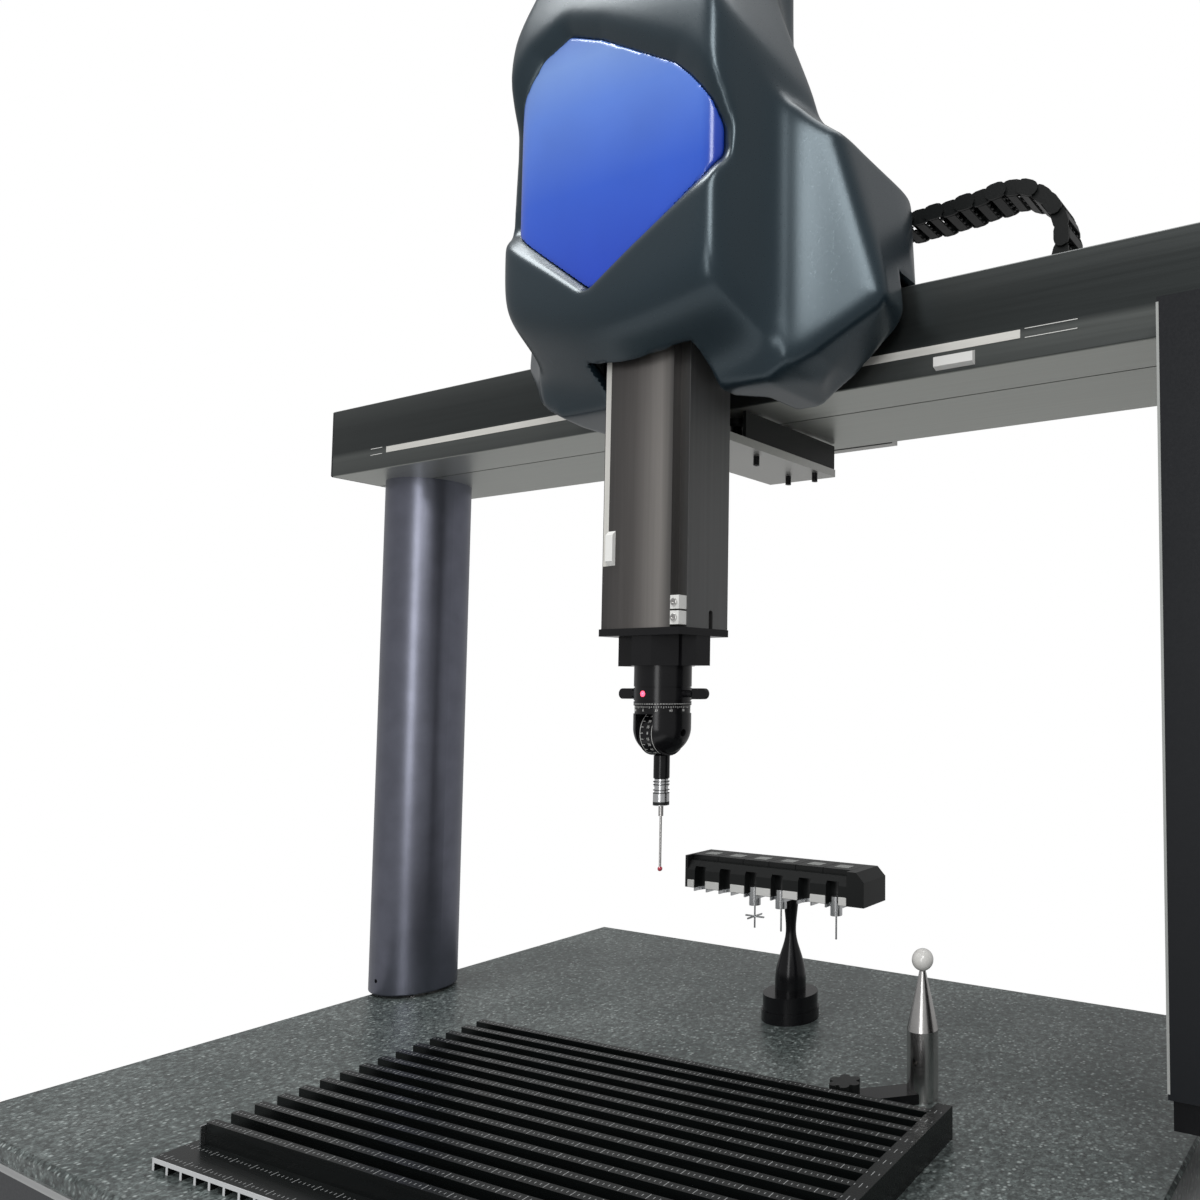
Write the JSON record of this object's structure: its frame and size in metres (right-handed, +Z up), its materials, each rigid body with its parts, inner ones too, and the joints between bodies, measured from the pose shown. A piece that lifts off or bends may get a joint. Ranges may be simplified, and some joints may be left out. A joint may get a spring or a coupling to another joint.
{
  "type": "coordinate measuring machine",
  "caption": "Moving-bridge coordinate measuring machine: granite table, beam on a leg and a column, covered vertical quill with a touch-trigger probe head, stylus rack and reference sphere.",
  "frame": {"origin": "middle of the footprint on the floor", "axes": "+X along the beam to the right seen from the front, +Y from the front to the back, +Z up"},
  "size_m": [1.182, 0.759, 2.215],
  "materials": {
    "granite": "polished grey-green granite",
    "frame_paint": "satin",
    "panel_paint": "satin",
    "dark_anodised": "dark anodised",
    "column_anodised": "blue-grey anodised",
    "cover_plastic": "satin moulded",
    "window_blue": "glossy",
    "chain_plastic": "matte",
    "bright_alu": "fine brushed",
    "quill_anodised": "dark anodised",
    "steel": "brushed",
    "white_plastic": "matte",
    "tape": "satin",
    "head_black": "black anodised",
    "head_silver": "satin",
    "lamp_red": "clear red",
    "ruby": "polished ruby",
    "rubber_black": "matte",
    "ceramic": "polished ceramic",
    "black_plastic": "matte"
  },
  "bodies": {
    "base": {"granite_table": "granite", "stand_frame": "frame_paint", "stand_feet": "rubber_black", "stand_panels": "panel_paint", "panel_trim": "bright_alu", "y_rail": "dark_anodised", "fixture_base": "head_black", "fixture_fins": "head_black", "rack_stand": "head_black", "rack_body": "head_black", "rack_end_caps": "bright_alu", "rack_lids": "black_plastic", "docked_modules": "head_silver", "sphere_post": "steel", "reference_sphere": "ceramic", "sphere_arm": "head_black"},
    "sphere_knob": {"sphere_knob": "black_plastic"},
    "bridge": {"y_saddle": "dark_anodised", "bridge_air_pads": "steel", "leg_base": "dark_anodised", "bridge_struts": "bright_alu", "leg_cover": "panel_paint", "beam": "dark_anodised", "beam_end_caps": "black_plastic", "x_scale": "tape", "limit_target": "white_plastic", "left_column": "column_anodised", "chain_tray": "dark_anodised", "chain_lower_run": "chain_plastic"},
    "y_wheel": {"y_drive_wheel": "steel"},
    "chain_loop": {"chain_loop": "chain_plastic"},
    "x_carriage": {"carriage_frame": "bright_alu", "carriage_air_pads": "steel", "carriage_motors": "head_black", "quill_guides": "bright_alu", "balance_piston": "steel", "z_belt": "rubber_black", "front_cover": "cover_plastic", "rear_cover": "cover_plastic", "window_panel": "window_blue", "chain_upper_run": "chain_plastic"},
    "x_wheel": {"x_drive_wheel": "steel"},
    "z_pulley": {"z_drive_pulley": "bright_alu"},
    "z_idler": {"z_idler_pulley": "bright_alu"},
    "quill": {"quill": "quill_anodised", "quill_end_plate": "head_black", "z_scale": "tape", "scale_fittings": "white_plastic", "balance_cylinder": "bright_alu", "head_adaptor": "head_black", "head_body": "head_black", "head_lamp": "lamp_red"},
    "lock_levers": {"lock_levers": "head_black"},
    "head_yaw": {"head_dome": "head_black"},
    "head_tilt": {"tilt_drum": "head_black", "probe_body": "head_silver", "stylus_module": "head_silver"},
    "stylus": {"stylus": "steel", "stylus_ball": "ruby"}
  },
  "joints": [
    {"name": "y_slide", "type": "slide", "parent": "base", "child": "bridge", "axis": [0, 1, 0], "range_m": [-0.34, 0.2]},
    {"name": "x_slide", "type": "slide", "parent": "bridge", "child": "x_carriage", "axis": [1, 0, 0], "range_m": [-0.435, 0.185], "deforming": ["chain_upper_run", "chain_lower_run"]},
    {"name": "z_slide", "type": "slide", "parent": "x_carriage", "child": "quill", "axis": [0, 0, 1], "range_m": [-0.185, 0.28]},
    {"name": "y_wheel_spin", "type": "hinge", "parent": "bridge", "child": "y_wheel", "pos_m": [0.5783, 0.0705, 0.735], "axis": [0, 0, 1], "continuous": true},
    {"name": "x_wheel_spin", "type": "hinge", "parent": "x_carriage", "child": "x_wheel", "pos_m": [0.04, 0.1458, 1.476], "axis": [0, 0, 1], "continuous": true},
    {"name": "z_pulley_spin", "type": "hinge", "parent": "x_carriage", "child": "z_pulley", "pos_m": [0.04, -0.065, 1.645], "axis": [0, 1, 0], "continuous": true},
    {"name": "z_idler_spin", "type": "hinge", "parent": "x_carriage", "child": "z_idler", "pos_m": [0.04, -0.065, 2.192], "axis": [0, 1, 0], "continuous": true},
    {"name": "chain_slide", "type": "slide", "parent": "bridge", "child": "chain_loop", "axis": [1, 0, 0], "range_m": [-0.2185, 0.0935]},
    {"name": "lever_turn", "type": "hinge", "parent": "quill", "child": "lock_levers", "pos_m": [0.04, -0.1325, 1.1688], "axis": [1, 0, 0], "range_deg": [-25, 25]},
    {"name": "head_yaw_turn", "type": "hinge", "parent": "quill", "child": "head_yaw", "pos_m": [0.04, -0.1325, 1.14], "axis": [0, 0, 1], "range_deg": [-180, 180]},
    {"name": "head_tilt_turn", "type": "hinge", "parent": "head_yaw", "child": "head_tilt", "pos_m": [0.04, -0.1325, 1.1365], "axis": [1, 0, 0], "range_deg": [0, 90]},
    {"name": "stylus_touch", "type": "slide", "parent": "head_tilt", "child": "stylus", "axis": [0, 0, 1], "range_m": [0, 0.005], "stiffness_N_per_m": 20, "springref_m": -0.002},
    {"name": "knob_turn", "type": "hinge", "parent": "base", "child": "sphere_knob", "pos_m": [0.13749, 0.00132, 0.809], "axis": [0, 0, 1], "range_deg": [-180, 180]}
  ],
  "couplings": [
    {"joint": "y_wheel_spin", "follows": "y_slide", "rad_per_m": 100},
    {"joint": "x_wheel_spin", "follows": "x_slide", "rad_per_m": -66.667},
    {"joint": "chain_slide", "follows": "x_slide", "ratio": 0.5},
    {"joint": "z_pulley_spin", "follows": "z_slide", "rad_per_m": -83.333},
    {"joint": "z_idler_spin", "follows": "z_slide", "rad_per_m": -83.333}
  ]
}
